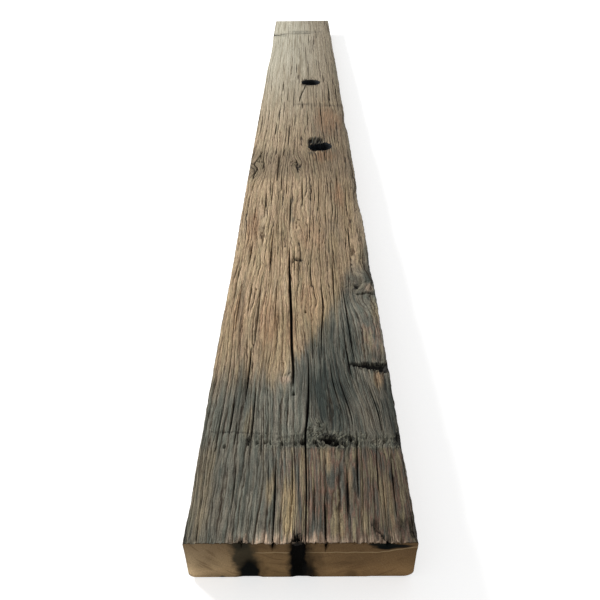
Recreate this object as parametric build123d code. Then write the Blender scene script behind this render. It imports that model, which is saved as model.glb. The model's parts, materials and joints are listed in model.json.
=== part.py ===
from build123d import *
import math
import os

# Reclaimed oak plank, lying flat with its weathered face up.
# One sawn length of old oak in millimetres: X runs across it, Y along it, Z up.
# The origin is the middle of the underside, and the near end is at the lowest Y.

# Driving sizes
length = 2250.0
width = 200.0
thickness = 52.0

# Rounding of the long edges
left_foot_radius = 6.0
right_foot_radius = 9.0
arris_radius = 2.0

# Hollows worn into the long sides and the weathered face
edge_wear = 3.0
face_wear = 1.6
hollow_reach = 150.0

# Bolt holes: a recess for the head, a through hole for the shank, a worn rim
bolt_radius = 11.0
recess_radius = 23.5
recess_depth = 20.0
rim_wear = 1.5

# Scar beside the nearer recess, where the bolt head has worked the wood away
scar_radius = 15.0
scar_depth = 6.0

# Drying checks: the widest opening, the deepest root and the width left at a root
check_opening = 3.2
check_depth = 20.0
check_root = 0.5

# Bite of a cross timber across the face, and the gash in the right-hand side
bite_opening = 9.0
bite_depth = 3.0
gash_opening = 11.0
gash_depth = 12.0
split_root = 1.5

# Rot pockets in the face, widest at the top
pocket_radius = 7.5
pocket_depth = 9.0
pocket_root_radius = 2.5

# Spike holes that the end saw cut has laid open, narrower towards the underside
slot_top_radius = 6.0
slot_root_radius = 4.0
slot_set_back = 2.0

# Nail holes
nail_radius = 2.2
nail_depth = 24.0

# How far every cutter runs past the wood
overrun = 4.0

# Places below are shares: across is a share of the width from the middle line,
# along is a share of the length from the near end.

# Worn hollows: along share of the middle, share of hollow_reach each way, share of the wear
left_hollow_shares = ((0.02, 0.2, 0.35), (0.2, 0.9, 0.3), (0.6, 0.7, 0.25), (0.785, 1.4, 1.0))
right_hollow_shares = (
    (0.197, 0.3, 0.6), (0.297, 0.4, 1.0), (0.478, 0.4, 0.9), (0.57, 0.6, 0.45), (0.8, 0.9, 0.3),
)
face_hollow_shares = (
    (0.0, 0.15, 0.6), (0.0515, 0.3, 1.0), (0.27, 1.2, 0.4), (0.51, 1.2, 0.4), (0.9, 0.6, 0.7), (1.0, 0.2, 0.5),
)

# Bolt holes as across and along
near_bolt_shares = (0.19, 0.4093)
far_bolt_shares = (0.12, 0.62)
scar_shares = (-0.06, 0.0135)

# Checks: share of check_opening, share of check_depth, then the points they pass
check_shares = (
    (1.0, 1.0, ((-0.043, 0.083), (-0.052, 0.11), (-0.056, 0.135), (-0.07, 0.16), (-0.084, 0.19), (-0.09, 0.222))),
    (0.85, 0.8, ((0.012, -0.006), (0.026, 0.022), (0.025, 0.045), (0.035, 0.064), (0.043, 0.085), (0.04, 0.108))),
    (0.6, 0.6, ((0.284, 0.018), (0.29, 0.034), (0.3, 0.046), (0.306, 0.056))),
    (0.55, 0.55, ((-0.265, 0.045), (-0.258, 0.058), (-0.25, 0.072), (-0.25, 0.086))),
    (0.5, 0.6, ((0.105, -0.004), (0.108, 0.012), (0.11, 0.028), (0.106, 0.04))),
    (0.5, 0.6, ((-0.118, -0.004), (-0.116, 0.012), (-0.12, 0.028), (-0.126, 0.042))),
    (0.5, 0.5, ((0.225, 0.125), (0.23, 0.16), (0.222, 0.195), (0.23, 0.225))),
    (0.45, 0.5, ((0.138, 0.125), (0.142, 0.155), (0.14, 0.185))),
    (0.5, 0.5, ((-0.225, 0.335), (-0.23, 0.35), (-0.228, 0.368), (-0.218, 0.383))),
    (0.5, 0.7, ((0.232, 0.43), (0.234, 0.46), (0.238, 0.5), (0.236, 0.53))),
)
bite_shares = ((-0.27, 0.0505), (-0.05, 0.0495), (0.15, 0.051), (0.32, 0.049), (0.48, 0.052))
gash_shares = ((0.3, 0.1035), (0.4, 0.1015), (0.5, 0.0995), (0.6, 0.098), (0.7, 0.096))

# Rot pockets: across, along, share of pocket_radius, share of pocket_depth
pocket_shares = (
    (0.15, 0.0515, 1.0, 1.0),
    (0.37, 0.173, 0.7, 0.8),
    (-0.03, 0.0505, 0.6, 0.5),
    (-0.445, 0.894, 0.9, 0.5),
)

# Opened spike holes: across, share of the slot radii
slot_shares = ((-0.012, 1.0), (-0.236, 0.6))

# Nail holes: across, along
nail_shares = ((-0.04, 0.0805), (-0.02, 0.205), (0.027, 0.1485))


def place(across_share, along_share):
    return Vector(across_share * width, (along_share - 0.5) * length)


def sawn_body():
    section = Rectangle(width, thickness, align=(Align.CENTER, Align.MIN))
    left_foot, right_foot = section.vertices().group_by(Axis.Y)[0].sort_by(Axis.X)
    section = fillet([left_foot], left_foot_radius)
    left_foot, right_foot = section.vertices().group_by(Axis.Y)[0].sort_by(Axis.X)[-2:]
    section = fillet([right_foot], right_foot_radius)
    section = fillet(section.vertices().group_by(Axis.Y)[-1], arris_radius)
    return extrude(Plane.XZ * section, length / 2, both=True)


def hollow_radius(reach, depth):
    # The round that is this deep and reaches this far each way
    return (reach ** 2 + depth ** 2) / (2 * depth)


def side_hollow(side, along, reach_share, wear_share):
    depth = wear_share * edge_wear
    radius = hollow_radius(reach_share * hollow_reach, depth)
    centre = place(side / 2, along) + Vector(side * (radius - depth), 0, thickness / 2)
    return Pos(*centre) * Cylinder(radius, thickness + 2 * overrun)


def face_hollow(along, reach_share, wear_share):
    depth = wear_share * face_wear
    radius = hollow_radius(reach_share * hollow_reach, depth)
    centre = place(0, along) + Vector(0, 0, thickness - depth + radius)
    return Pos(*centre) * Rot(0, 90, 0) * Cylinder(radius, width + 2 * overrun)


def split_outline(points, opening, level):
    # A lens round the points: closed at both ends, as wide as the opening halfway.
    last = len(points) - 1
    left = [points[0]]
    right = [points[0]]
    for i in range(1, last):
        heading = (points[i + 1] - points[i - 1]).normalized()
        across = Vector(-heading.Y, heading.X) * (opening / 2 * math.sin(math.pi * i / last))
        left.append(points[i] + across)
        right.append(points[i] - across)
    left.append(points[last])
    right.append(points[last])
    outline = make_face([Spline(*left), Spline(*right)])
    return Pos(0, 0, level) * outline


def split_cutter(shares, opening, depth, root):
    points = [place(across, along) for across, along in shares]
    top = split_outline(points, opening, thickness + overrun)
    bottom = split_outline(points, root, thickness - depth)
    return loft([top, bottom])


def bolt_cutter(shares):
    centre = place(*shares)
    shank = Pos(centre.X, centre.Y, thickness / 2) * Cylinder(bolt_radius, thickness + 2 * overrun)
    seat = Pos(centre.X, centre.Y, thickness - recess_depth)
    recess = seat * Cylinder(recess_radius, recess_depth + overrun, align=(Align.CENTER, Align.CENTER, Align.MIN))
    rim_level = thickness - face_wear - rim_wear
    rim = Pos(centre.X, centre.Y, rim_level) * Cone(
        recess_radius, recess_radius + rim_wear + face_wear, rim_wear + face_wear,
        align=(Align.CENTER, Align.CENTER, Align.MIN),
    )
    return shank + recess + rim


def scar_cutter():
    across = near_bolt_shares[0] + scar_shares[0]
    along = near_bolt_shares[1] + scar_shares[1]
    centre = place(across, along)
    ball_radius = (scar_radius ** 2 + scar_depth ** 2) / (2 * scar_depth)
    return Pos(centre.X, centre.Y, thickness - scar_depth + ball_radius) * Sphere(ball_radius)


def pocket_cutter(across, along, radius_share, depth_share):
    centre = place(across, along)
    depth = depth_share * pocket_depth
    return Pos(centre.X, centre.Y, thickness - depth) * Cone(
        pocket_root_radius, radius_share * pocket_radius, depth,
        align=(Align.CENTER, Align.CENTER, Align.MIN),
    )


def slot_cutter(across, radius_share):
    return Pos(across * width, -length / 2 - slot_set_back, 0) * Cone(
        radius_share * slot_root_radius, radius_share * slot_top_radius, thickness,
        align=(Align.CENTER, Align.CENTER, Align.MIN),
    )


def nail_cutter(across, along):
    centre = place(across, along)
    return Pos(centre.X, centre.Y, thickness - nail_depth) * Cylinder(
        nail_radius, nail_depth + overrun, align=(Align.CENTER, Align.CENTER, Align.MIN),
    )


def oak_plank():
    cutters = [side_hollow(-1, *shares) for shares in left_hollow_shares]
    cutters += [side_hollow(1, *shares) for shares in right_hollow_shares]
    cutters += [face_hollow(*shares) for shares in face_hollow_shares]
    cutters += [bolt_cutter(near_bolt_shares), bolt_cutter(far_bolt_shares), scar_cutter()]
    for opening_share, depth_share, points in check_shares:
        cutters.append(split_cutter(points, opening_share * check_opening, depth_share * check_depth, check_root))
    cutters.append(split_cutter(bite_shares, bite_opening, bite_depth, split_root))
    cutters.append(split_cutter(gash_shares, gash_opening, gash_depth, split_root))
    cutters += [pocket_cutter(*shares) for shares in pocket_shares]
    cutters += [slot_cutter(*shares) for shares in slot_shares]
    cutters += [nail_cutter(*shares) for shares in nail_shares]
    plank = sawn_body()
    for cutter in cutters:
        plank = plank - cutter
    return plank


os.makedirs("parts", exist_ok=True)
export_step(oak_plank(), "parts/oak_plank.step")
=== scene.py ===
import json
import math
from functools import partial

import bmesh
import bpy
import numpy as np
from mathutils import Matrix, Vector


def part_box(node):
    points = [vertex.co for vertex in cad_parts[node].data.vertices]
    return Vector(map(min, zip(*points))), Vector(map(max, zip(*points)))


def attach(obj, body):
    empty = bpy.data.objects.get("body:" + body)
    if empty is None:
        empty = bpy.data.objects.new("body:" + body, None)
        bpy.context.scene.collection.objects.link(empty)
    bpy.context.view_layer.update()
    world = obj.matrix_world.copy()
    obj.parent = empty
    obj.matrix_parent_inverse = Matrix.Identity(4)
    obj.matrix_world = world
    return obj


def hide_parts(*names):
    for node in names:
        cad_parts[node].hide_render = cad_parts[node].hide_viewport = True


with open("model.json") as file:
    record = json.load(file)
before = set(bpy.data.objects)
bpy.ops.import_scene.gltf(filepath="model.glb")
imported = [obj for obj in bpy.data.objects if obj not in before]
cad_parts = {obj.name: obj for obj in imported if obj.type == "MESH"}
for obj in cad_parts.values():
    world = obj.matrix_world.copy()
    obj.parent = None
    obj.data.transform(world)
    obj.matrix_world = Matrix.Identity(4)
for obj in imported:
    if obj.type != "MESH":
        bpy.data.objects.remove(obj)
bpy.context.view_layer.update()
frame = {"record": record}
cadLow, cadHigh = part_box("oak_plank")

mm = 0.001
plankWidth = (cadHigh.x - cadLow.x) / mm
plankLength = (cadHigh.y - cadLow.y) / mm
plankThickness = (cadHigh.z - cadLow.z) / mm
plankHalf = plankWidth / 2
# Across is X, with 0 on the middle line. Along is Y, counted here in mm from the near end.


def linearColour(hexText):
    # "#8a7a63" as sRGB to linear red, green, blue and alpha
    parts = [int(hexText[i:i + 2], 16) / 255 for i in (1, 3, 5)]
    return [p / 12.92 if p <= 0.04045 else ((p + 0.055) / 1.055) ** 2.4 for p in parts] + [1.0]


def addNode(tree, kind, inputs=(), output=0, **settings):
    # One node with its settings and links: "Math ADD" is the Math node set to Add. An input is a plain value or another
    # node's socket, named or in order, and "stops" are the places and colours of a ramp. The result is one output
    # socket, or the node itself when output is None.
    kind, _, way = kind.partition(" ")
    node = tree.nodes.new(kind if "Node" in kind else "ShaderNode" + kind)
    if way:
        settings["interpolation_type" if kind == "MapRange" else "operation"] = way
    for name, value in settings.items():
        if name == "stops":
            while len(node.color_ramp.elements) < len(value):
                node.color_ramp.elements.new(0.5)
            for element, (place, colour) in zip(node.color_ramp.elements, value):
                element.position, element.color = place, linearColour(colour)
        else:
            setattr(node, name, value)
    for name, value in inputs.items() if isinstance(inputs, dict) else enumerate(inputs):
        if isinstance(value, bpy.types.NodeSocket):
            tree.links.new(value, node.inputs[name])
        else:
            node.inputs[name].default_value = value
    return node if output is None else node.outputs[output]


def intoScene(obj):
    bpy.context.scene.collection.objects.link(obj)
    return obj


def smoothStep(low, high, value):
    t = np.clip((value - low) / (high - low), 0, 1)
    return t * t * (3 - 2 * t)


def latticeNoise(a, b, seed):
    # Smooth noise from 0 to 1 over two coordinates, the same on every run
    ia, ib = np.floor(a).astype(np.int64), np.floor(b).astype(np.int64)
    fa, fb = smoothStep(0, 1, a - ia), smoothStep(0, 1, b - ib)

    def corner(da, db):
        h = ((ia + da) * 374761393 + (ib + db) * 668265263 + seed * 974634777) & 0xFFFFFFFF
        h = ((h ^ (h >> 13)) * 1274126177) & 0xFFFFFFFF
        return ((h ^ (h >> 16)) & 0xFFFF) / 65535.0

    near = corner(0, 0) * (1 - fa) + corner(1, 0) * fa
    far = corner(0, 1) * (1 - fa) + corner(1, 1) * fa
    return near * (1 - fb) + far * fb


# The plank's own shape, in mm: the grid it is built on, its edges and its wear
plank = {
    "columns": 300,
    "sideRows": 26,
    "rowSteps": (
        (0, 12, 1.0), (12, 100, 2.4), (100, 130, 1.2), (130, 214, 2.4), (214, 242, 1.2), (242, 340, 2.6),
        (340, 420, 2.0), (420, 600, 3.6), (600, 750, 5.0), (750, 990, 3.4), (990, 2250, 12.0),
    ),
    "footRadiusLeft": 6.0,
    "footRadiusRight": 9.0,
    "arrisRadius": 1.2,
    "edgeWear": 3.0,
    "faceWear": 1.6,
    "hollowReach": 150.0,
    # along share, reach share, wear share, as in the plank's solid
    "leftHollows": ((0.02, 0.2, 0.35), (0.2, 0.9, 0.3), (0.6, 0.7, 0.25), (0.785, 1.4, 1.0)),
    "rightHollows": ((0.197, 0.3, 0.6), (0.297, 0.4, 1.0), (0.478, 0.4, 0.9), (0.57, 0.6, 0.45), (0.8, 0.9, 0.3)),
    "faceHollows": (
        (0.0, 0.15, 0.6), (0.0515, 0.3, 1.0), (0.27, 1.2, 0.4), (0.51, 1.2, 0.4), (0.9, 0.6, 0.7), (1.0, 0.2, 0.5),
    ),
    "triangles": 196000,
}

# How the grain runs: each line of fibres starts level with "grain" and passes these places across
grainStations = (0, 60, 100, 125, 150, 200, 260, 330, 420, 520, 620, 760, 900, 1100, 1400, 1800, 2250)
grainLines = {
    -100: (-100,) * 17,
    -75: (-76, -75, -75, -75, -74, -73, -76, -78, -77, -75, -76, -76, -74, -72, -72, -74, -75),
    -50: (-51, -48, -50.5, -50, -49.5, -49, -46, -45, -44, -44.5, -43, -45, -45, -42, -42, -44, -45),
    -30: (-27, -27, -28, -29, -30, -32, -31, -33, -33, -35, -36, -37, -29, -27, -25, -28, -28),
    -12: (-8, -7, -8, -8.5, -9, -9.3, -11, -12.5, -16.5, -18.5, -19, -18, -15.5, -13.5, -12, -14, -14),
    6: (4.5, 5.5, 5, 4.0, 7.4, 8.8, 8.5, 7, 6.5, 8, 12, 11, 5, 9, 10, 9, 8),
    26: (21.5, 22, 24, 30, 32, 26, 24.5, 27, 28, 29, 29, 31, 27, 25, 24, 24, 26),
    47: (51, 54, 56, 58, 57, 46, 41, 43, 46, 45, 46, 47, 47, 46, 46, 47, 47),
    68: (68, 70, 73, 76, 75, 66, 61, 59, 58, 59, 62, 65, 66, 66, 66, 66, 66),
    86: (84, 86, 88, 89, 88, 80, 78, 78, 75, 73, 77, 82, 84, 84, 84, 84, 84),
    100: (100,) * 17,
}

# Knots: across, along, push on the grain round them, reach across, reach along, all in mm
knots = (
    (90, 388, 10, 14, 34), (-98, 802, 12, 14, 40), (-8, 818, 6, 9, 24), (-14, 224, 3.5, 9, 22),
    (20, 345, 3, 10, 26), (46, 1000, -4, 12, 60),
)

# Curled grain, in knots and where a branch began: across, along, reach across, reach along, turn in radians
curls = (
    (80, 386, 20, 32, 0.35), (-92, 812, 15, 36, -0.9), (-8, 822, 10, 24, 1.1), (-17, 214, 9, 17, 0.3),
    (20, 345, 7, 22, 0.5), (18, 126, 12, 12, 0.9), (74, 114, 8, 9, 1.4),
)


def wearAt(along, hollows, deepest):
    # Depth of the worn hollows of one side at each place along the plank
    depth = np.zeros_like(along)
    for middle, reachShare, wearShare in hollows:
        reach, d = reachShare * plank["hollowReach"], wearShare * deepest
        radius = (reach ** 2 + d ** 2) / (2 * d)
        depth = np.maximum(depth, d - (along - middle * plankLength) ** 2 / (2 * radius))
    return depth


def grainToAcross(grain, along):
    # Where a line of fibres lies across the plank at each place along it
    names = sorted(grainLines)
    grain = np.clip(grain, names[0], names[-1])
    bends = [np.interp(along, grainStations, grainLines[name]) for name in names]
    # the stations are joined smoothly by averaging over a short stretch each way
    for stretch in (7, 14):
        for i, name in enumerate(names):
            bends[i] = bends[i] + 0.5 * (
                np.interp(along - stretch, grainStations, grainLines[name])
                + np.interp(along + stretch, grainStations, grainLines[name])
            )
    bends = [b / 3 for b in bends]
    across = np.zeros_like(grain)
    for i in range(len(names) - 1):
        low, high = names[i], names[i + 1]
        inside = (grain >= low) & (grain <= high)
        share = (grain - low) / (high - low)
        across = np.where(inside, bends[i] * (1 - share) + bends[i + 1] * share, across)
    for kx, ky, push, reachAcross, reachAlong in knots:
        t = (across - kx) / reachAcross
        fall = np.exp(-0.5 * (t ** 2 + ((along - ky) / reachAlong) ** 2))
        inner = smoothStep(0, 14, plankHalf - np.abs(grain))
        across = across + push * t * fall * inner
    return across


# Splits in the face that follow the grain: grain line, from, to, widest, depth, all in mm
checks = (
    (-12, 192, 500, 3.4, 17), (6, -6, 250, 2.6, 14), (47, 44, 128, 1.6, 8), (-61, 168, 262, 2.0, 10),
    (-50, 96, 192, 1.8, 9), (-73, 124, 176, 1.9, 8), (26, -5, 48, 1.7, 9), (-27, -5, 92, 1.6, 9),
    (26, 240, 412, 1.8, 9), (47, 318, 478, 1.7, 8), (-31, 292, 408, 1.7, 8), (-80, 292, 405, 2.0, 5),
    (-58, 268, 395, 1.9, 5), (68, 205, 424, 1.8, 8), (60, 180, 300, 1.6, 7), (-50, 430, 566, 2.0, 9),
    (-7, 432, 505, 1.4, 8), (-12, 552, 690, 1.8, 8), (27, 600, 768, 1.7, 8), (-50, 745, 882, 2.6, 11),
    (47, 690, 770, 1.7, 8), (-30, 700, 770, 2.0, 8), (86, 492, 566, 1.8, 7), (-75, 452, 524, 1.7, 6),
    (-77, 576, 650, 1.6, 6), (47, 955, 1190, 2.6, 11), (47, 842, 900, 2.6, 11), (-30, 925, 1062, 2.6, 8),
    (-62, 990, 1072, 2.4, 7), (-15, 1050, 1152, 2.4, 8), (-13, 872, 962, 2.2, 7), (-38, 870, 912, 2.2, 7),
    (12, 1060, 1142, 2.4, 7), (26, 1148, 1212, 2.2, 7), (70, 1180, 1290, 2.4, 7), (0, 1178, 1230, 2.2, 7),
    (-22, 1190, 1345, 3.0, 9), (72, 1230, 1400, 3.0, 8), (-42, 1230, 1340, 2.2, 6), (20, 1430, 1600, 2.6, 8),
    (-16, 1498, 1592, 3.0, 8), (10, 1600, 1800, 2.4, 6), (24, 1830, 2010, 2.8, 7), (-56, 1320, 1410, 2.6, 6),
    (50, 1940, 2090, 2.6, 6), (60, 1395, 1470, 2.6, 7), (90, 1240, 1370, 2.4, 6), (-12, 36, 100, 1.6, 6),
    (-62, 28, 90, 1.4, 5), (40, 20, 84, 1.8, 6), (70, 52, 124, 1.4, 6), (86, 24, 96, 1.5, 6),
    (-40, 96, 124, 1.6, 5), (78, 128, 196, 1.9, 8), (-34, 108, 150, 1.5, 5), (-84, 100, 158, 1.6, 5),
    (-66, 110, 140, 1.4, 4), (15, 20, 66, 1.6, 6), (36, 150, 240, 1.6, 6), (44, 135, 215, 1.6, 6),
    (13, 240, 300, 1.5, 6), (-68, 330, 420, 1.6, 6), (-89, 360, 440, 1.4, 5), (12, 390, 480, 1.5, 6),
    (36, 430, 520, 1.4, 5), (-23, 470, 560, 1.5, 6), (62, 560, 650, 1.5, 6), (10, 520, 640, 1.5, 6),
    (-38, 520, 610, 1.5, 6), (-64, 600, 700, 1.6, 6), (40, 540, 640, 1.4, 6), (0, 640, 760, 1.7, 7),
    (14, 655, 745, 1.5, 6), (-56, 650, 740, 1.6, 6), (68, 690, 800, 1.6, 6), (55, 660, 752, 1.8, 7),
    (86, 600, 720, 1.6, 5), (-88, 700, 760, 1.5, 5), (-20, 690, 740, 1.8, 6), (-84, 850, 895, 2.0, 6),
    (58, 348, 400, 1.6, 5), (64, 352, 398, 1.6, 5),
)

# Splits and scratches that cross the grain: points (across, along), width at each end, depth, in mm, and how dark
crossSplits = (
    (((58, 230), (65, 228), (70, 226), (73, 229), (79, 226), (86, 224), (104, 223)), 3.6, 15.0, 7.0, 0.95),
    (((-91, 127), (-60, 126.5), (-24, 124)), 1.2, 1.2, 1.0, 0.6),
    (((75, 373), (84, 375), (89, 378), (94, 376), (103, 372)), 1.6, 2.2, 9.0, 1.0),
    (((62, 17), (69, 9), (77, -3)), 1.4, 3.4, 3.0, 0.85),
    (((60, 388), (66, 395), (75, 396), (88, 403), (97, 407)), 1.6, 1.2, 1.8, 0.4),
    (((-102, 833), (-93, 828), (-85, 808), (-86, 793), (-90, 772), (-90, 760)), 3.0, 2.2, 7.0, 0.85),
    (((-93, 828), (-89, 845), (-81, 840), (-73, 837), (-74, 808)), 2.4, 2.0, 5.0, 0.75),
    (((-80, 892), (-84, 867), (-89, 845)), 1.8, 2.0, 4.0, 0.6),
    (((-78, 822), (-70, 812), (-72, 790)), 1.4, 1.4, 2.0, 0.4),
    (((-11, 850), (-7, 832), (-9, 812), (-6, 786)), 2.6, 2.4, 7.0, 0.85),
    (((-22, 836), (-15, 842), (-7, 832)), 1.8, 2.6, 4.0, 0.6),
    (((-20, 818), (-13, 824), (-8, 820)), 1.6, 2.0, 3.0, 0.5),
    (((10, 1368), (5, 1330), (-1, 1285), (-6, 1238)), 2.6, 2.4, 7.0, 0.7),
    (((-102, 2003), (-88, 2004), (-72, 2012)), 8.0, 5.5, 5.0, 0.85),
    (((-72, 2012), (-50, 2022), (-10, 2017), (30, 2022)), 5.0, 3.0, 0.9, 0.62),
    (((-25, 211), (-18, 210.5), (-11, 217)), 1.4, 1.4, 1.4, 0.3),
    (((-8, 466), (0, 464.5)), 4.6, 4.2, 8.0, 1.0),
)


def crossSplitPlaces(across, along):
    # For each of them: nearness to its middle line (1 on it, 0 at its edge, below 0 outside), how far it has not run
    # out at its ends, its depth and how dark it is
    rough = latticeNoise(across / 1.3, along / 1.9, 5)
    for path, startWidth, stopWidth, deepest, dark in crossSplits:
        # the farther from the near end, the wider along the plank
        stretch = 1 + path[0][1] / 800
        drawn = [(px, py / stretch) for px, py in path]
        d, t = distanceToPath(across, (along + 2.0 * (rough - 0.5)) / stretch, drawn)
        half = (startWidth + (stopWidth - startWidth) * t) / 2 * (0.5 + rough)
        ends = smoothStep(0.0, 0.06, t) * smoothStep(1.0, 0.97, t)
        yield 1 - d / half, 0.4 + 0.6 * ends, deepest, dark


# Pits, nail holes and dents: across, along, reach across, reach along, depth, in mm
pits = (
    (28, 116, 7, 6, 9.0), (36, 112, 5, 4, 7.0), (17, 109, 3, 3, 4.0), (2, 113, 4, 5, 4.0), (-5, 112, 3, 4, 3.0),
    (45, 110, 3, 4, 3.5), (51, 118, 2, 7, 4.0), (57, 112, 2.5, 4, 4.0), (99, 116, 4, 9, 6.0),
    (-52, 116, 1.6, 7, 4.0), (-43, 113, 1.8, 3, 3.5), (-35, 113.5, 2, 3, 3.5), (-30, 113, 1.8, 4, 3.0),
    (-18, 112, 2, 5, 3.0), (85, 114, 3, 4, 2.5), (73, 113, 3, 3, 2.0), (-8, 181, 2.0, 3.0, 14.0),
    (5.5, 334, 1.6, 3.0, 10.0), (-61, 387, 1.6, 3.0, 5.0), (-76, 108, 1.8, 3.0, 4.0), (75, 391, 3.2, 4.6, 7.0),
    (98, 14, 3.5, 12, 2.5), (90, 18, 5, 8, 1.6), (66, 16, 3, 9, 1.8), (-3, 2, 5.0, 6.0, 6.0),
    (-51, 2, 2.5, 5.0, 2.5),
)

# Larger damage, in mm: the band that a cross timber bit, the crumbled patch beyond it, the scar with a groove behind
# the nearer bolt hole, the ragged long edges, and the torn fibres and chips of the near end
damage = {
    "biteMiddle": 114, "biteDepth": 0.5, "biteTornDepth": 3.0, "crumbledMiddle": 30,
    "patch": (18, 128, 14), "patchDepth": 2.2, "scarDepth": 0.5, "scarFibreDepth": 7,
    "groove": ((17, 903), (27, 893)), "grooveDepth": 2.8,
    "wearReach": 30, "raggedLeft": 0.6, "raggedRight": 1.0, "fibresOut": 2.2, "chipDepth": 1.6, "deepestAtEnd": 4.0,
}

# The end saw cut: slits from the face (across, widest, depth down, depth in) and opened spike holes (across, half
# width at the top, half width at the foot, depth in), in mm
endSlits = (
    (-23.6, 2.4, 13, 7), (22, 2.4, 15, 8), (4.5, 2.2, 9, 5), (-50, 1.8, 9, 4), (13, 1.6, 5, 3), (46, 1.6, 5, 3),
    (54, 1.8, 5, 3), (-75, 1.4, 4, 2), (33, 1.2, 3, 2), (-12, 1.4, 4, 3), (74, 2.0, 8, 3),
)
endSlots = ((-2.4, 5.7, 3.5, 4.0),)

# Stains of the face: middle across and along, reach across and along, in mm, and strength from 0 to 1
stainSpots = {
    "iron": (
        (30, 178, 24, 54, 1.0), (36, 250, 24, 62, 0.7), (4, 205, 14, 40, 0.6), (58, 265, 11, 55, 0.75),
        (-64, 190, 9, 40, 0.55), (-42, 76, 16, 26, 0.4), (-80, 80, 12, 24, 0.2), (95, 165, 8, 42, 0.8),
        (40, 140, 20, 26, 0.6), (90, 235, 16, 20, 0.5), (84, 384, 14, 22, 0.3), (96, 440, 8, 60, 0.6),
        (98, 700, 7, 80, 0.3), (98, 1060, 6, 90, 0.3), (-78, 360, 3.5, 60, 0.45), (-56, 330, 3, 60, 0.4),
        (-17, 640, 2.5, 45, 0.35), (-15, 592, 4, 11, 0.6), (-17, 664, 3.5, 9, 0.6), (18, 885, 6, 7, 0.6),
        (30, 950, 17, 22, 0.9), (-72, 1990, 24, 16, 0.35), (-6, 2050, 40, 18, 0.5), (24, 2030, 26, 14, 0.25),
        (52, 2050, 20, 14, 0.3),
    ),
    "soot": (
        (29, 116, 10, 8, 1.0), (40, 112, 6, 6, 0.8), (52, 117, 5, 8, 0.75), (98, 116, 6, 12, 0.95),
        (16, 111, 6, 5, 0.7), (1, 113, 5, 6, 0.8), (96, 224, 10, 6, 0.8), (75, 391, 3.4, 5, 0.95),
        (99, 14, 4, 16, 0.75), (90, 17, 6, 9, 0.5), (97, 8, 4, 8, 0.8), (66, 14, 3.5, 9, 0.5),
        (76, 3, 5, 3, 0.5), (-2.5, 0, 8, 9, 1.0), (-50, 0, 7, 7, 0.8), (-8, 820, 7, 16, 0.8),
        (-93, 812, 8, 26, 0.25), (29, 957, 16, 13, 0.45), (-92, 2006, 11, 14, 0.9), (96, 376, 6, 4, 0.6),
        (-52, 116, 2.5, 7, 0.6), (-12, 110, 12, 5, 0.35), (86, 62, 3, 22, 0.3), (99, 432, 3, 34, 0.8),
        (7, 8, 3, 10, 0.4),
    ),
    "warm": (
        (-30, 268, 20, 60, 0.35), (-10, 28, 6, 34, 1.0), (-28, 56, 4, 16, 0.6), (3, 78, 3.5, 30, 0.45),
        (33, 20, 4.5, 20, 0.6), (26, 88, 4, 20, 0.45), (46, 70, 3, 26, 0.3), (56, 26, 3, 18, 0.35),
        (-54, 138, 5, 18, 0.32), (-90, 60, 9, 50, 0.3), (78, 40, 6, 30, 0.45), (14, 330, 26, 60, 0.4),
        (-88, 270, 8, 36, 0.35), (-60, 520, 30, 70, 0.25), (50, 510, 8, 34, 0.5), (86, 205, 6, 14, 0.6),
        (38, 860, 24, 40, 0.45), (80, 262, 6, 30, 0.15), (75, 670, 18, 90, 0.3), (48, 390, 5, 60, 0.45),
        (95, 338, 5, 24, 0.45), (60, 1130, 26, 130, 0.25),
    ),
    "umber": (
        (88, 275, 20, 52, 0.7), (70, 392, 22, 40, 0.4), (-78, 262, 16, 46, 0.35), (-45, 255, 12, 46, 0.35),
        (2, 310, 14, 50, 0.3), (50, 866, 26, 44, 0.4), (60, 1060, 40, 110, 0.5), (-72, 560, 14, 90, 0.25),
        (50, 530, 16, 60, 0.35), (66, 700, 22, 90, 0.3),
    ),
    "rosy": (
        (-78, 560, 10, 60, 0.5), (-42, 315, 12, 55, 0.5), (66, 680, 9, 45, 0.7), (45, 866, 22, 30, 0.65),
        (-12, 290, 7, 36, 0.4), (88, 205, 6, 12, 0.5), (20, 540, 18, 50, 0.35), (60, 1090, 26, 80, 0.6),
        (12, 360, 14, 50, 0.35), (-80, 330, 9, 50, 0.35),
    ),
    "tips": ((92, 390, 5, 10, 0.7), (-18, 204, 6, 5, 0.8), (77, 113, 5, 5, 0.25), (20, 905, 7, 5, 0.6)),
    "torn": ((78, 390, 22, 34, 0.35), (93, 342, 7, 24, 0.5)),
}

# Where a mask of the damage or the weathering begins and where it is full: across, along or up, in mm
limits = {
    "bite": (9, 3), "biteAcross": (-62, -44), "crumbled": (22, 12), "scarStart": (900, 915), "scarLeft": (12, 15),
    "scarRight": (48, 44), "groove": (6, 2), "footUp": (9, 0), "footAlong": (26, 4), "nearChips": (7, 0),
    "rightEdge": (80, 98), "umberStop": (109, 103), "umberBeyond": (100, 130), "tornStart": (101, 107),
    "tornStop": (129, 122), "nearShade": (230, 190), "knotStart": (735, 790), "knotStop": (930, 880),
    "nearEdge": (15, 5), "darkLine": (9, 3), "tipsStop": (9, 2), "tipsLeft": (-66, -54), "tipsRight": (98, 84),
    "coarse": (230, 470),
}

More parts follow.
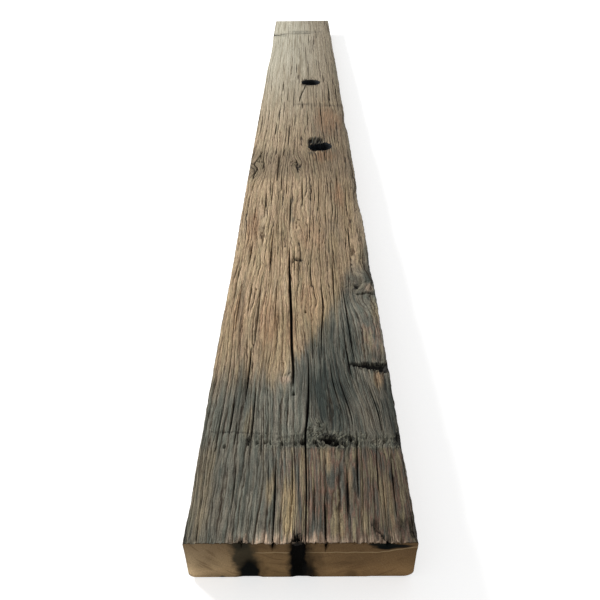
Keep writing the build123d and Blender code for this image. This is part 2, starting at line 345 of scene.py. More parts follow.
# Lines that bound or grade them: places across or along in mm, then the value at each
faceLines = {
    "scarEnd": ((13, 16, 22, 26, 30, 33, 38, 41, 44, 46), (948, 968, 972, 966, 974, 960, 972, 958, 970, 952)),
    "greyLimit": (
        (-100, -82, -62, -40, -20, -10, 0, 10, 25, 36, 45, 55, 64, 75, 100),
        (198, 205, 211, 209, 208, 226, 246, 268, 300, 332, 352, 384, 412, 436, 446),
    ),
    "greySoftness": ((-100, -24, 0, 34, 60, 100), (42, 34, 16, 14, 34, 40)),
    "rightEdgeGrey": ((0, 440, 500, 2250), (0.95, 0.9, 0.4, 0.3)),
    "nearUmber": ((-100, -84, -66, -44, -24, -4, 6, 100), (0.25, 0.2, 0.05, 0.1, 0.4, 0.75, 1.0, 1.0)),
    "biteTorn": ((-58, -46, -8, 8, 50, 62, 82, 100), (0.1, 0.5, 0.6, 1.0, 0.95, 0.7, 0.55, 0.55)),
    # the far face grows paler: partly bleached wood, partly painted sheen
    "paleAndSheenAlong": ((0, 420, 700, 1000, 1200, 1400, 1700, 2250), (0.0, 0.0, 0.03, 0.18, 0.42, 0.7, 0.9, 1.0)),
    "paleAndSheenAcross": ((-100, -20, 60, 100), (1.0, 0.95, 0.55, 0.4)),
    "rightShade": ((-60, 20, 95), (0, 0.5, 1)),
    "rightShadeAlong": ((0, 100, 130, 300, 420, 900, 2250), (0.12, 0.12, 0.1, 0.1, 0.26, 0.42, 0.46)),
    "nearShade": ((-100, -60, -45, -20, 15, 25, 60, 95), (0.2, 0.18, 0.06, 0.02, 0.04, 0.16, 0.24, 0.36)),
    "farShade": ((0, 760, 960, 2250), (1, 1, 0.89, 0.92)),
    "knotShade": ((-100, -20, 60), (0.38, 0.34, 0.2)),
    "nearEdgeLight": ((-66, -54, -20, 14, 24, 56, 64, 90), (0, 0.3, 0.36, 0.34, -0.06, -0.06, 0.08, 0.08)),
    "footChip": (
        (-100, -58, -51, -38, -34, -8, -4, 6, 10, 58, 62, 100), (0, 0, 1.3, 1.3, 0, 0, 1.2, 1.2, 0.2, 0.3, 0.8, 0.8),
    ),
    "weather": ((0, 60, 230, 420, 1000, 1400, 1800, 2250), (0.7, 0.65, 0.6, 0.75, 0.65, 0.25, 0.08, 0.05)),
}

# Lighter and darker stretches of the face: how much, where it begins and is full along, where it stops again and its
# side; "always" lies before every place. Then a dark line across the face, as points across and along.
always = (-9000, -8000)
shadeStretches = (
    (0.12, (320, 360), (560, 420), (10, -20)), (0.06, (1900, 2060), always, (40, -20)),
    (0.035, (290, 340), (1220, 1120), always), (-0.07, (100, 106), (128, 122), (-40, -60)),
)
darkLine = ((-14, 1204), (30, 1200), (94, 1196))


def within(name, places):
    return smoothStep(*limits[name], places)


def lineAt(name, places):
    return np.interp(places, *faceLines[name])


def plankGrid():
    # A closed box of quads, as (grain, along, height) in mm, with the index of each ring and each end
    n, m = plank["columns"], plank["sideRows"]
    alongs = [0.0]
    for start, stop, step in plank["rowSteps"]:
        count = round((stop - start) / step)
        alongs += [start + (stop - start) * (i + 1) / count for i in range(count)]
    alongs = np.array(alongs)
    top = np.linspace(-plankHalf, plankHalf, n + 1)
    side = np.linspace(plankThickness, 0, m + 1)
    ringGrain = np.concatenate([top[:-1], np.full(m, top[-1]), top[:0:-1], np.full(m, top[0])])
    ringHeight = np.concatenate([np.full(n, side[0]), side[:-1], np.full(n, 0.0), side[:0:-1]])
    around, rings = len(ringGrain), len(alongs)
    points = np.stack([np.tile(ringGrain, rings), np.repeat(alongs, around), np.tile(ringHeight, rings)], 1)
    index = np.arange(rings * around).reshape(rings, around)
    after = np.roll(index, -1, 1)
    quads = [np.stack([index[:-1], after[:-1], after[1:], index[1:]], -1).reshape(-1, 4)]
    kinds = [np.tile(np.concatenate([np.full(n, 0), np.full(m, 1), np.full(n, 1), np.full(m, 1)]), rings - 1)]
    inner = np.stack(np.meshgrid(top[1:-1], side[1:-1], indexing="ij"), -1)
    for ring, flip in ((0, False), (rings - 1, True)):
        cap = np.zeros((n + 1, m + 1), np.int64)
        cap[:, 0] = index[ring, :n + 1]
        cap[n, :] = index[ring, n:n + m + 1]
        cap[::-1, m] = index[ring, n + m:2 * n + m + 1]
        cap[0, ::-1] = np.append(index[ring, 2 * n + m:], index[ring, 0])
        cap[1:-1, 1:-1] = len(points) + np.arange((n - 1) * (m - 1)).reshape(n - 1, m - 1)
        flat = inner.reshape(-1, 2)
        points = np.concatenate([points, np.stack([flat[:, 0], np.full(len(flat), alongs[ring]), flat[:, 1]], 1)])
        quad = np.stack([cap[:-1, :-1], cap[:-1, 1:], cap[1:, 1:], cap[1:, :-1]], -1).reshape(-1, 4)
        quads.append(quad[:, ::-1] if flip else quad)
        kinds.append(np.full(len(quad), 2))
    return points, np.concatenate(quads), np.concatenate(kinds)


def roundLongEdges(grain, height):
    # Turns the square corners of the section into quarter rounds
    corners = (
        (-1, 1, plank["arrisRadius"]), (1, 1, plank["arrisRadius"]),
        (-1, -1, plank["footRadiusLeft"]), (1, -1, plank["footRadiusRight"]),
    )
    for sideX, sideZ, radius in corners:
        cx = plankHalf - radius
        cz = plankThickness - radius if sideZ > 0 else radius
        dx, dz = sideX * grain - cx, sideZ * (height - cz)
        inside = (dx > 0) & (dz > 0)
        far = np.hypot(dx, dz)
        share = np.where(inside, np.maximum(dx, dz) / np.maximum(far, 1e-9), 1.0)
        grain = np.where(inside, sideX * (cx + dx * share), grain)
        height = np.where(inside, cz + sideZ * dz * share, height)
    return grain, height


def distanceToPath(x, y, path):
    # Nearest distance to a run of straight pieces, and how far along the run that is, from 0 to 1
    lengths = [math.dist(a, b) for a, b in zip(path, path[1:])]
    best, place, passed = np.full_like(x, 1e9), np.zeros_like(x), 0.0
    for (ax, ay), (bx, by), size in zip(path, path[1:], lengths):
        t = np.clip(((x - ax) * (bx - ax) + (y - ay) * (by - ay)) / size ** 2, 0, 1)
        d = np.hypot(x - ax - t * (bx - ax), y - ay - t * (by - ay))
        nearer = d < best
        best = np.where(nearer, d, best)
        place = np.where(nearer, (passed + t * size) / sum(lengths), place)
        passed += size
    return best, place


def scarDepth(grain, across, along):
    # Listed damage of the weathered face, as depth in mm
    depth = np.zeros_like(across)
    step = plankWidth / plank["columns"]
    for line, start, stop, widest, deepest in checks:
        line = round((line + plankHalf) / step) * step - plankHalf
        t = np.clip((along - start) / (stop - start), 0, 1)
        lens = np.sqrt(np.sin(np.pi * t).clip(0, 1))
        side = np.abs(grain - line) / (widest / 2 * (0.35 + 0.65 * lens) + 1e-6)
        depth = np.maximum(depth, deepest * lens * (1 - side).clip(0, 1) ** 0.7)
    for nearness, ends, deepest, _ in crossSplitPlaces(across, along):
        depth = np.maximum(depth, deepest * ends * nearness.clip(0, 1) ** 0.6)
    for px, py, rx, ry, deepest in pits:
        ragged = 0.55 + 0.85 * latticeNoise(across / 1.7, along / 2.4, 11)
        d = np.hypot((across - px) / rx, (along - py) / ry) / ragged
        depth = np.maximum(depth, deepest * smoothStep(1, 0.45, d))
    # the torn band that the cross timber bit
    band = within("bite", np.abs(along - damage["biteMiddle"])) * within("biteAcross", across)
    torn = smoothStep(0.5, 0.8, latticeNoise(across / 2.3, along / 2.8, 21))
    crumbled = within("crumbled", np.abs(across - damage["crumbledMiddle"])) + 0.25
    band = band * (damage["biteDepth"] + damage["biteTornDepth"] * torn * np.minimum(crumbled, 1.0))
    depth = np.maximum(depth, band)
    # curled fibres of the crumbled patch beyond the band
    px, py, reach = damage["patch"]
    patch = smoothStep(1.2, 0.6, np.hypot((across - px) / reach, (along - py) / reach))
    curled = smoothStep(0.55, 0.8, latticeNoise(across / 2.0 + along / 9, along / 5.0, 25))
    depth = np.maximum(depth, patch * damage["patchDepth"] * curled)
    # scar behind the nearer bolt hole
    scarEnd = lineAt("scarEnd", across)
    inside = smoothStep(scarEnd + 2, scarEnd - 3, along) * within("scarStart", along)
    inside = inside * within("scarLeft", across) * within("scarRight", across)
    fibres = damage["scarFibreDepth"] * latticeNoise(across / 2.6, along / 26, 31)
    depth = np.maximum(depth, inside * (damage["scarDepth"] + fibres))
    d, _ = distanceToPath(across, along, damage["groove"])
    return np.maximum(depth, damage["grooveDepth"] * within("groove", d))


def endDepth(across, height):
    # Slits and opened spike holes in the near end, as depth in mm
    depth = np.zeros_like(across)
    for line, widest, down, deepest in endSlits:
        t = (plankThickness - height) / down
        side = np.abs(across - line + 1.2 * (t - 0.3)) / (widest / 2 * (1.15 - t).clip(0.05, 1))
        depth = np.maximum(depth, deepest * (1 - side).clip(0, 1) ** 0.5 * smoothStep(1.0, 0.6, t))
    for line, topHalf, footHalf, deepest in endSlots:
        t = height / plankThickness
        half = footHalf + (topHalf - footHalf) * t + 0.8 * (latticeNoise(height / 5, across * 0 + line, 3) - 0.5)
        side = np.abs(across - line) / half
        depth = np.maximum(depth, deepest * np.sqrt((1 - side ** 2).clip(0, 1)) * smoothStep(0, 16, height))
    return depth


def stainMasks(grain, across, along, height):
    # Where the wood has weathered grey, gone blue-black with iron, kept its warmth or bleached (partly painted sheen),
    # each from 0 to 1
    finger = latticeNoise(grain / 3.1, along / 75, 41) - 0.5
    fleck = latticeNoise(grain / 1.7, along / 30, 43) - 0.5
    x = across + 5 * (latticeNoise(across / 14, along / 60, 47) - 0.5)
    y = along + 20 * finger + 14 * fleck

    def spot(px, py, rx, ry, soft=0.45):
        # an oval whose edge wanders with the fibres, a small one less so
        sx = across + (x - across) * min(1, rx / 12)
        sy = along + min(70, 0.8 * ry) * finger + min(26, 0.6 * ry) * fleck
        return smoothStep(1 + soft, 1 - soft, np.hypot((sx - px) / rx, (sy - py) / ry))

    def spotted(name, mask, soft=0.45):
        for px, py, rx, ry, strength in stainSpots[name]:
            mask = np.maximum(mask, strength * spot(px, py, rx, ry, soft))
        return mask

    greyLimit, soft = lineAt("greyLimit", x), lineAt("greySoftness", x)
    grey = smoothStep(greyLimit + soft, greyLimit - soft, y)
    grey = np.maximum(grey, within("rightEdge", x) * lineAt("rightEdgeGrey", along))
    iron = spotted("iron", np.zeros_like(x))
    soot = spotted("soot", np.zeros_like(x), 0.3)
    for nearness, _, _, dark in crossSplitPlaces(across, along):
        soot = np.maximum(soot, dark * smoothStep(-0.35, 0.25, nearness))
    warm = spotted("warm", np.zeros_like(x))
    # the near end kept more of its brown, up to the bite of the cross timber
    umber = within("umberStop", along + 5 * fleck) * lineAt("nearUmber", x)
    umber = np.maximum(umber, 0.18 * spot(80, 160, 26, 60) * within("umberBeyond", along))
    umber = spotted("umber", umber)
    rosy = spotted("rosy", np.zeros_like(x))
    torn = within("tornStop", along + 6 * fleck) * within("tornStart", along + 4 * fleck) * lineAt("biteTorn", x)
    torn = np.maximum(torn, 0.7 * spot(18, 127, 14, 13, 0.3))
    torn = torn * (0.35 + 0.9 * smoothStep(0.3, 0.6, latticeNoise(across / 7, along / 9, 59)))
    torn = np.maximum(spotted("torn", torn), 0.9 * spot(88, 226, 22, 8, 0.3))
    # paler far face: partly bleached wood, partly painted sheen
    pale = lineAt("paleAndSheenAlong", along) * lineAt("paleAndSheenAcross", x)
    shade = 1 - lineAt("rightShade", x) * lineAt("rightShadeAlong", along)
    shade = shade * (1 - lineAt("nearShade", x) * within("nearShade", along)) * lineAt("farShade", along)
    shade = shade * (1 - lineAt("knotShade", x) * within("knotStart", along) * within("knotStop", along))
    shade = shade * (1 + lineAt("nearEdgeLight", x) * within("nearEdge", along))
    for amount, start, stop, side in shadeStretches:
        shade = shade * (1 + amount * smoothStep(*start, along) * smoothStep(*stop, along) * smoothStep(*side, x))
    d, _ = distanceToPath(across, along, darkLine)
    shade = shade * (1 - 0.5 * within("darkLine", d))
    tips = within("tipsStop", along + 14 * (latticeNoise(grain / 1.6, along / 40, 53) - 0.5))
    tips = spotted("tips", tips * within("tipsLeft", x) * within("tipsRight", x))
    # on the long sides the damp marks fade below the face
    below = smoothStep(plankThickness - 26, plankThickness - 3, height)
    return {
        "grey": grey, "iron": iron * below, "soot": soot * below, "warm": warm, "pale": pale, "tips": tips,
        "shade": shade, "umber": umber, "rosy": rosy, "torn": torn * below,
    }


def buildPlankMesh():
    # The grid bent along the grain, with every mask the relief and the finish read
    points, quads, kinds = plankGrid()
    along = points[:, 1]
    onNear, onFar = along <= 0, along >= plankLength
    flatGrain, flatHeight = points[:, 0], points[:, 2]
    grain, height = roundLongEdges(flatGrain, flatHeight)
    across = grainToAcross(grain, along)
    faceShare = smoothStep(0.0, plankThickness, height)
    # below the face the fibres run straight again
    across = grain + (across - grain) * smoothStep(0.55 * plankThickness, plankThickness, height)
    left = wearAt(along, plank["leftHollows"], plank["edgeWear"])
    right = wearAt(along, plank["rightHollows"], plank["edgeWear"])
    leftShare = smoothStep(-plankHalf + damage["wearReach"], -plankHalf, grain)
    rightShare = smoothStep(plankHalf - damage["wearReach"], plankHalf, grain)
    across = across + left * leftShare - right * rightShare
    ragged = latticeNoise(along / 7, height / 12, 73) + 0.5 * latticeNoise(along / 2.5, height / 6, 79)
    frayed = -damage["raggedLeft"] * leftShare ** 3 * (ragged - 0.1)
    frayed = frayed - damage["raggedRight"] * rightShare ** 3 * (ragged - 1.0)
    across = across + frayed * smoothStep(plankThickness - 16, plankThickness - 4, height)
    face = wearAt(along, plank["faceHollows"], plank["faceWear"])
    height = height - face * faceShare
    # the foot of the near end is chipped where the saw left it
    foot = within("footUp", height) * within("footAlong", along)
    height = height + lineAt("footChip", across) * foot
    # fibre ends stand out along the near arris and chips are missing from it
    fray = latticeNoise(grain / 1.1, height / 4, 61)
    nearArris = smoothStep(plankThickness - 3.5, plankThickness - 0.5, height)
    along = along - damage["fibresOut"] * np.clip(fray - 0.4, 0, 1) * nearArris * onNear
    chipped = damage["chipDepth"] * smoothStep(0.5, 0.9, latticeNoise(grain / 2.3, along / 6, 67))
    height = height - chipped * nearArris * within("nearChips", along)

    onFace = (flatHeight >= plankThickness) | (height > plankThickness - plank["arrisRadius"])
    rim = np.minimum(plankHalf - np.abs(grain), 40.0)
    scar = np.where(onFace, scarDepth(grain, across, along), 0.0)
    scar = scar * np.where(flatHeight >= plankThickness, 1.0, 0.6)
    cut = endDepth(across, height)
    shallow = np.where(onFace, np.minimum(scar, damage["deepestAtEnd"]), 0.0)
    scar = np.where(onNear, np.maximum(cut, shallow), scar)
    masks = stainMasks(grain, across, along, height)
    weather = np.where(onFace & ~(onNear | onFar), lineAt("weather", along), 0.0)
    weather = weather * smoothStep(-0.5, 3.0, np.where(onFace, 1.6 + rim, 3.0))

    coarse = within("coarse", along)
    # fibres along the grain on the face; on the sides the height stands for the width, and each side has its own
    textureAcross = np.where(np.abs(flatGrain) >= plankHalf, 300 + height, 600 + grain)
    textureAcross = np.where(onFace, grain, textureAcross)
    # the weather drew the far fibres out longer
    textureAlong = np.where(onFace & (along > 500), 500 * (1 + np.log(np.maximum(along, 500) / 500)), along)
    for cx, cy, reachAcross, reachAlong, turn in curls:
        dx, dy = (across - cx) / reachAcross, (along - cy) / reachAlong
        a = turn * np.exp(-(dx ** 2 + dy ** 2)) * onFace
        textureAcross = textureAcross + reachAcross * (dx * np.cos(a) - dy * np.sin(a) - dx)
        textureAlong = textureAlong + reachAlong * (dx * np.sin(a) + dy * np.cos(a) - dy)
    mesh = bpy.data.meshes.new("oakPlank")
    mesh.vertices.add(len(points))
    places = np.stack([across * mm, cadLow.y + along * mm, cadLow.z + height * mm], 1)
    mesh.vertices.foreach_set("co", places.astype(np.float32).ravel())
    mesh.loops.add(quads.size)
    mesh.loops.foreach_set("vertex_index", quads.astype(np.int32).ravel())
    mesh.polygons.add(len(quads))
    mesh.polygons.foreach_set("loop_start", (np.arange(len(quads)) * 4).astype(np.int32))
    mesh.update(calc_edges=True)
    for name, values in {"weather": weather, "scar": scar, "coarse": coarse, **masks}.items():
        mesh.attributes.new(name, "FLOAT", "POINT").data.foreach_set("value", values.astype(np.float32))
    coordinates = np.stack([textureAcross, textureAlong, height], 1).astype(np.float32).ravel()
    mesh.attributes.new("grain", "FLOAT_VECTOR", "POINT").data.foreach_set("vector", coordinates)
    mesh.attributes.new("cut", "INT", "FACE").data.foreach_set("value", kinds.astype(np.int32))
    mesh.validate()
    return mesh


# Sizes of the weathered relief, in mm; the finish draws the same fibres with them
relief = {
    "ringSpacing": 6.1, "ringDepth": 0.9, "veinSpacing": 2.7, "veinDepth": 0.6,
    "swayReach": 16.0, "swayWidth": 22.0, "swayLength": 190.0,
    "rippleReach": 6.5, "rippleWidth": 8.0, "rippleLength": 58.0,
    "frayReach": 2.6, "frayWidth": 2.8, "frayLength": 13.0,
    "fibreWidth": 1.4, "fibreLength": 45.0, "fibreDepth": 0.5,
    "crackDepth": 1.2, "seed": 3.0,
}


def weighted(add, total, *parts):
    # Adds sockets to a total, each by its share
    for source, share in parts:
        total = add("Math MULTIPLY_ADD", (source, share, total))
    return total


def noiseOver(add, place, way, cell, detail=1.0):
    # Smooth noise over a place that is first multiplied or divided by a cell
    place = add("VectorMath " + way, (place, cell))
    return add("TexNoise", {"Vector": place, "Scale": 1.0, "Detail": detail})


def fibreRelief(add, grain, coarse, sizes):
    # Old oak weathers into ridges between its growth rings, with finer veins and here and there an open crack.
    # Works in a geometry tree and in a material. The grain line and the place along are in mm.
    parts = add("SeparateXYZ", (grain,), None).outputs
    line, along = parts[0], parts[1]
    flat = add("CombineXYZ", (line, along, sizes["seed"]))
    less = add("MapRange", (coarse, 0.0, 1.0, 0.22, 1.0))
    rippleReach = add("Math MULTIPLY", (sizes["rippleReach"], less))
    for name, reach in (("sway", sizes["swayReach"]), ("ripple", rippleReach), ("fray", sizes["frayReach"])):
        size = add("CombineXYZ", (sizes[name + "Width"], sizes[name + "Length"], 1.0))
        off = add("Math SUBTRACT", (noiseOver(add, flat, "DIVIDE", size), 0.5))
        line = add("Math MULTIPLY_ADD", (off, reach, line))
    # each line has a noise of its own, since a whole number times an uneven factor falls in another part of the noise
    shares = {}
    for name, wide, thin, span in (("ring", 0.34, 0.15, 85.0), ("vein", 0.42, 0.22, 60.0)):
        count = add("Math DIVIDE", (line, sizes[name + "Spacing"]))
        number = add("Math FLOOR", (count,))
        part = add("Math FRACT", (count,))
        off = add("Math SUBTRACT", (part, 0.5))
        off = add("Math ABSOLUTE", (off,))
        # each line comes and goes along the plank, and now and then opens into a crack
        place = add("CombineXYZ", (number, along, sizes["seed"]))
        comeGo = noiseOver(add, place, "MULTIPLY", (0.83, 1 / span, 1.0))
        comeGo = add("MapRange SMOOTHSTEP", (comeGo, 0.4, 0.62, 0.1, 1.0))
        for share, reach in ((name, wide), (name + "Line", thin)):
            near = add("MapRange SMOOTHSTEP", (off, 0.0, reach, 1.0, 0.0))
            shares[share] = add("Math MULTIPLY", (near, comeGo))
        if name == "ring":
            opened = noiseOver(add, place, "MULTIPLY", (1.71, 1 / 80, 2.3))
            opened = add("MapRange SMOOTHSTEP", (opened, 0.545, 0.59, 0.0, 1.0))
            crackReach = add("MapRange", (along, 350.0, 1050.0, 0.1, 0.2))
            near = add("MapRange SMOOTHSTEP", (off, 0.03, crackReach, 1.0, 0.0))
            near = add("Math MULTIPLY", (near, less))
            shares["crack"] = add("Math MULTIPLY", (near, opened))
        # the ridge between two lines has a tint of its own
        ridge = add("Math ADD", (count, 0.5))
        ridge = add("Math FLOOR", (ridge,))
        place = add("CombineXYZ", (ridge, along, sizes["seed"]))
        shares[name + "Tint"] = noiseOver(add, place, "MULTIPLY", (3.17, 1 / 130, 5.1), 2.0)
    size = add("CombineXYZ", (sizes["fibreWidth"], sizes["fibreLength"], 1.0))
    shares["fibre"] = noiseOver(add, flat, "DIVIDE", size, 2.0)
    depths = [(shares[name], sizes[name + "Depth"]) for name in ("ring", "vein", "fibre", "crack")]
    return {"depth": weighted(add, 0.0, *depths), **shares}


def makeReliefTree(materials):
    tree = bpy.data.node_groups.new("weatheredRelief", "GeometryNodeTree")
    add = partial(addNode, tree)
    tree.interface.new_socket("Geometry", in_out="INPUT", socket_type="NodeSocketGeometry")
    for name in relief:
        tree.interface.new_socket(name, in_out="INPUT", socket_type="NodeSocketFloat")
    tree.interface.new_socket("Geometry", in_out="OUTPUT", socket_type="NodeSocketGeometry")
    given = add("NodeGroupInput", output=None).outputs
    sizes = {name: given[name] for name in relief}
    read = {
        name: add("GeometryNodeInputNamedAttribute", {"Name": name}, data_type=kind)
        for name, kind in (
            ("grain", "FLOAT_VECTOR"), ("weather", "FLOAT"), ("scar", "FLOAT"), ("coarse", "FLOAT"), ("cut", "INT"),
        )
    }
    fibres = fibreRelief(add, read["grain"], read["coarse"], sizes)
    hollow = add("Math MULTIPLY_ADD", (fibres["depth"], read["weather"], read["scar"]))
    stored = add("GeometryNodeStoreNamedAttribute", {
        "Geometry": given["Geometry"], "Name": "hollow", "Value": hollow,
    }, data_type="FLOAT", domain="POINT")
    inward = add("Math MULTIPLY", (hollow, -mm))
    normal = add("GeometryNodeInputNormal")
    offset = add("VectorMath SCALE", {0: normal, "Scale": inward})
    shaped = add("GeometryNodeSetPosition", {"Geometry": stored, "Offset": offset})
    result = add("GeometryNodeRealizeInstances", {"Geometry": shaped})
    for number, material in enumerate(materials):
        same = add("FunctionNodeCompare", {2: read["cut"], 3: number}, data_type="INT", operation="EQUAL")
        result = add("GeometryNodeSetMaterial", {"Geometry": result, "Selection": same, "Material": material})
    add("NodeGroupOutput", {"Geometry": result}, None)
    return tree


def newMaterial(name):
    # An empty material, and addNode for its tree
    material = bpy.data.materials.new(name)
    material.use_nodes = True
    material.node_tree.nodes.clear()
    return material, partial(addNode, material.node_tree)


def layered(add, base, *layers):
    # Lays colours over each other: share, hex colour or socket, and a blend mode unless they are simply mixed
    colour = base
    for share, over, *mode in layers:
        over = linearColour(over) if isinstance(over, str) else over
        colour = add(
            "Mix", {0: share, 6: colour, 7: over}, 2, data_type="RGBA", blend_type=(*mode, "MIX")[0], clamp_factor=True,
        )
    return colour


def shading(add, share):
    # A layer that makes what lies under it lighter or darker by a share
    return 1.0, add("CombineXYZ", (share, share, share)), "MULTIPLY"


def placeInMm(add):
    # The place on the object itself, for a texture that no mesh attribute carries
    return add("VectorMath SCALE", {0: add("TexCoord", output="Object"), "Scale": 1 / mm})


def streaks(add, grain, table):
    # Noises drawn out along the grain: name, then cell width and length in mm, detail and a shift
    made = {}
    for name, (width, length, detail, shift) in table.items():
        scale = (1 / width, 1 / length, 1 / 60)
        place = add("Mapping", {"Vector": grain, "Location": (shift, shift, 0.0), "Scale": scale})
        made[name] = add("TexNoise", {"Vector": place, "Scale": 1.0, "Detail": detail, "Roughness": 0.6})
    return made


def finishSurface(add, colour, height, roughness, specular, bump):
    # Height is in mm; old dry oak has a dull surface of IOR about 1.5 with little gloss
    inMetres = add("Math MULTIPLY", (height, mm))
    normal = add("Bump", {"Strength": bump, "Distance": 1.0, "Height": inMetres})
    surface = add("BsdfPrincipled", {
        "Base Color": colour, "Roughness": roughness, "IOR": 1.5, "Specular IOR Level": specular, "Normal": normal,
    })
    add("OutputMaterial", {"Surface": surface}, None)


def weatheredFaceMaterial():
    # Oak face left outdoors for decades: grey-brown ridges, dark splits, blue-black where iron lay on it
    material, add = newMaterial("weatheredOakFace")
    grain = add("Attribute", output="Vector", attribute_name="grain")
    mask = {
        name: add("Attribute", output="Fac", attribute_name=name)
        for name in (
            "grey", "iron", "soot", "warm", "pale", "tips", "coarse", "shade", "umber", "rosy", "torn", "hollow",
        )
    }
    fibres = fibreRelief(add, grain, mask["coarse"], relief)
    noise = streaks(add, grain, {
        "fine": (0.8, 30, 3.0, 0.0), "broad": (4.5, 170, 3.0, 4.0), "cloud": (26, 120, 3.0, 9.0),
        "speck": (1.0, 16, 1.0, 15.0), "drift": (8.0, 100, 2.0, 57.0), "short": (1.1, 12, 2.0, 45.0),
        "patch": (5.0, 42, 2.0, 51.0), "crumb": (1.6, 3.4, 2.0, 21.0), "brush": (2.6, 50, 3.0, 27.0),
        "hue": (6.0, 85, 3.0, 33.0), "grit": (0.9, 1.8, 1.0, 39.0),
    })

    ringTint, veinTint = fibres["ringTint"], fibres["veinTint"]
    tone = weighted(add, -0.45, (noise["broad"], 0.7), (ringTint, 0.45), (veinTint, 0.4), (noise["cloud"], 0.35))
    hue = weighted(add, -0.35, (veinTint, 0.7), (noise["hue"], 1.0))
    patch = weighted(add, -0.2, (veinTint, 0.4), (noise["patch"], 1.0))
    ramps = {
        "brown": (tone, ((0.15, "#8a755f"), (0.4, "#ad9879"), (0.62, "#bfaa8b"), (0.9, "#d2be9c"))),
        "brownHue": (hue, (
            (0.3, "#8d8063"), (0.42, "#a18b6a"), (0.52, "#b4957a"), (0.62, "#b7a27d"), (0.75, "#a08b76"),
        )),
        # colours of the paler far face: partly bleached wood, partly painted sheen
        "pale": (tone, ((0.15, "#9c9783"), (0.45, "#b9b4a1"), (0.8, "#d1cdbc"))),
        "grey": (tone, ((0.12, "#55574f"), (0.36, "#727369"), (0.6, "#89887c"), (0.9, "#a6a394"))),
        "greyHue": (patch, (
            (0.3, "#51554b"), (0.42, "#6c6f63"), (0.5, "#807e70"), (0.58, "#867f70"), (0.68, "#8e8373"),
            (0.8, "#6f6d63"),
        )),
        "umber": (patch, (
            (0.28, "#434b45"), (0.37, "#544f46"), (0.44, "#6c5c4d"), (0.5, "#865d49"), (0.56, "#7f725c"),
            (0.64, "#a6946f"), (0.74, "#8a7a60"), (0.84, "#665a50"),
        )),
    }
    made = {name: add("ValToRGB", (share,), stops=stops) for name, (share, stops) in ramps.items()}
    grey = layered(add, made["grey"], (0.55, made["greyHue"]))
    umber = layered(add, made["umber"], (0.3, made["grey"]))
    brown = layered(add, made["brown"], (0.5, made["brownHue"]))
    streaky = add("MapRange", (noise["brush"], 0.35, 0.62, 0.45, 1.2))
    patchy = {
        name: add("Math MULTIPLY", (mask[name], streaky), use_clamp=True)
        for name in ("warm", "rosy", "iron", "tips")
    }
    # over the far face lies its paler colour, partly bleached wood and partly painted sheen
    colour = layered(
        add, brown,
        (mask["pale"], made["pale"]), (mask["grey"], grey), (mask["umber"], umber), (patchy["warm"], "#b9a37c"),
        (patchy["rosy"], "#b18a69"), (patchy["iron"], "#3c433e"), (patchy["tips"], "#bda58e"),
    )

    fineShade = weighted(add, noise["fine"], (noise["grit"], 0.5), (noise["short"], 0.8))
    fineShade = add("MapRange", (fineShade, 0.85, 1.45, 0.42, 1.58))
    even = add("Math MULTIPLY", (mask["pale"], 0.6))
    fineShade = add("Mix", {0: even, 2: fineShade, 3: 1.0}, data_type="FLOAT")
    shade = add("Math MULTIPLY", (fineShade, mask["shade"]))
    clearer = add("MapRange", (mask["coarse"], 0.0, 1.0, 1.15, 1.0))
    calmer = add("MapRange", (mask["pale"], 0.0, 1.0, 1.0, 0.2))
    clearer = add("Math MULTIPLY", (clearer, calmer))
    ringLine, veinLine = (add("Math MULTIPLY", (fibres[name], clearer)) for name in ("ringLine", "veinLine"))
    specks = add("MapRange SMOOTHSTEP", (noise["speck"], 0.64, 0.72, 0.0, 0.5))
    specks = add("Math MULTIPLY", (specks, calmer))
    # far off only broad dark streaks are left of the fine lines
    drift = add("MapRange SMOOTHSTEP", (noise["drift"], 0.5, 0.72, 0.0, 0.75))
    drift = add("Math MULTIPLY", (drift, mask["pale"]))
    colour = layered(
        add, colour,
        shading(add, shade), (drift, "#a3937d", "MULTIPLY"), (ringLine, "#807265", "MULTIPLY"),
        (veinLine, "#988d82", "MULTIPLY"), (specks, "#2e261e"),
    )
    crack = add("Math MULTIPLY", (fibres["crack"], 0.95))
    fewer = add("MapRange", (mask["pale"], 0.3, 1.0, 1.0, 0.4))
    crack = add("Math MULTIPLY", (crack, fewer))
    crumbTone = add("ValToRGB", (noise["crumb"],), stops=((0.4, "#24271f"), (0.5, "#55564b"), (0.6, "#8e8b79")))
    crumbShare = add("Math MULTIPLY", (mask["torn"], 0.65))
    crumbs = add("MapRange", (noise["crumb"], 0.4, 0.62, 1.15, 0.4))
    soot = add("Math MULTIPLY", (mask["soot"], crumbs), use_clamp=True)
    # torn fibres make the rims of the deeper damage ragged
    torn = add("Math MULTIPLY_ADD", (noise["crumb"], 3.0, mask["hollow"]))
    # painted shade: the deeper hollows of the damage are darkened towards black
    hollowShade = add("MapRange SMOOTHSTEP", (torn, 4.2, 6.6, 0.0, 0.95))
    colour = layered(
        add, colour, (crumbShare, crumbTone), (crack, "#33281e"), (soot, "#14130f"), (hollowShade, "#0c0a08"),
    )
    height = add("Math MULTIPLY", (fibres["depth"], -0.55))
    height = add("Math MULTIPLY", (height, calmer))
    crumble = add("Math MULTIPLY", (noise["crumb"], mask["torn"]))
    height = weighted(add, height, (noise["fine"], 1.2), (noise["grit"], 0.5), (crumble, 3.5))
    finishSurface(add, colour, height, roughness=0.85, specular=0.2, bump=0.9)
    return material


